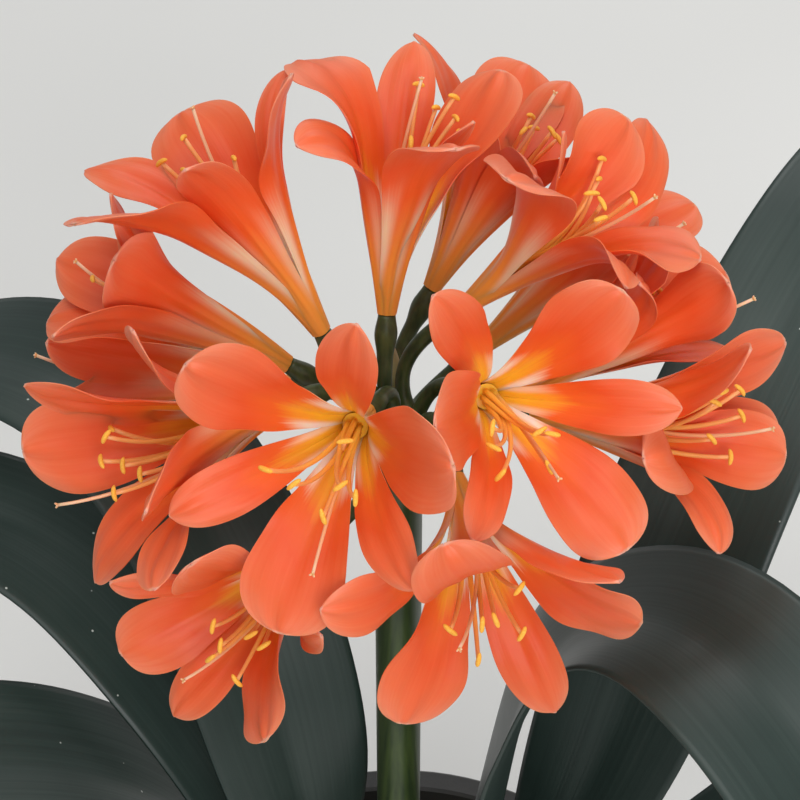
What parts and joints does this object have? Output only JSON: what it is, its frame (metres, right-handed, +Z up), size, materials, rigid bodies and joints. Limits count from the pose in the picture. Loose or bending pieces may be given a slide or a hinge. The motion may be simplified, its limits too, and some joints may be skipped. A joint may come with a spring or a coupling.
{
  "type": "flowering clivia in a pot",
  "caption": "Potted clivia in flower: arching strap leaves in two ranks and one round umbel of orange funnel-shaped blooms on an upright stalk, in a plain round pot.",
  "frame": {"origin": "centre of the pot's underside, on the surface it stands on", "axes": "+Z up the pot and the flower stalk; X along the plane of the two ranks of leaves, -X the left rank; -Y the side from which the flower head is seen"},
  "size_m": [0.7371, 0.481, 0.5544],
  "materials": {
    "pot": "plain matte dark plastic, faint mould grain",
    "soil": "loose bark potting mix",
    "leaf_base": "smooth pale green sheaths",
    "scape": "smooth satin green stem",
    "leaf": "leathery satin dark green, fine lengthwise veins",
    "tepal": "soft satin petal, yellow throat",
    "stamen": "orange yellow filaments with golden anthers"
  },
  "bodies": {
    "root": {"pot": "pot", "soil": "soil", "crown": "leaf_base", "scape": "scape", "leaf_left_1": "leaf", "leaf_left_2": "leaf", "leaf_left_3": "leaf", "leaf_left_4": "leaf", "leaf_left_5": "leaf", "leaf_left_6": "leaf", "leaf_right_1": "leaf", "leaf_right_2": "leaf", "leaf_right_3": "leaf", "leaf_right_4": "leaf", "leaf_right_5": "leaf", "leaf_right_6": "leaf", "bloom_01": "tepal", "bloom_02": "tepal", "bloom_03": "tepal", "bloom_04": "tepal", "bloom_05": "tepal", "bloom_06": "tepal", "bloom_07": "tepal", "bloom_08": "tepal", "bloom_09": "tepal", "bloom_10": "tepal", "bloom_11": "tepal", "bloom_12": "tepal", "bloom_13": "tepal", "bloom_14": "tepal", "stamens_01": "stamen", "stamens_02": "stamen", "stamens_03": "stamen", "stamens_04": "stamen", "stamens_05": "stamen", "stamens_06": "stamen", "stamens_07": "stamen", "stamens_08": "stamen", "stamens_09": "stamen", "stamens_10": "stamen", "stamens_11": "stamen", "stamens_12": "stamen", "stamens_13": "stamen", "stamens_14": "stamen"}
  },
  "joints": []
}
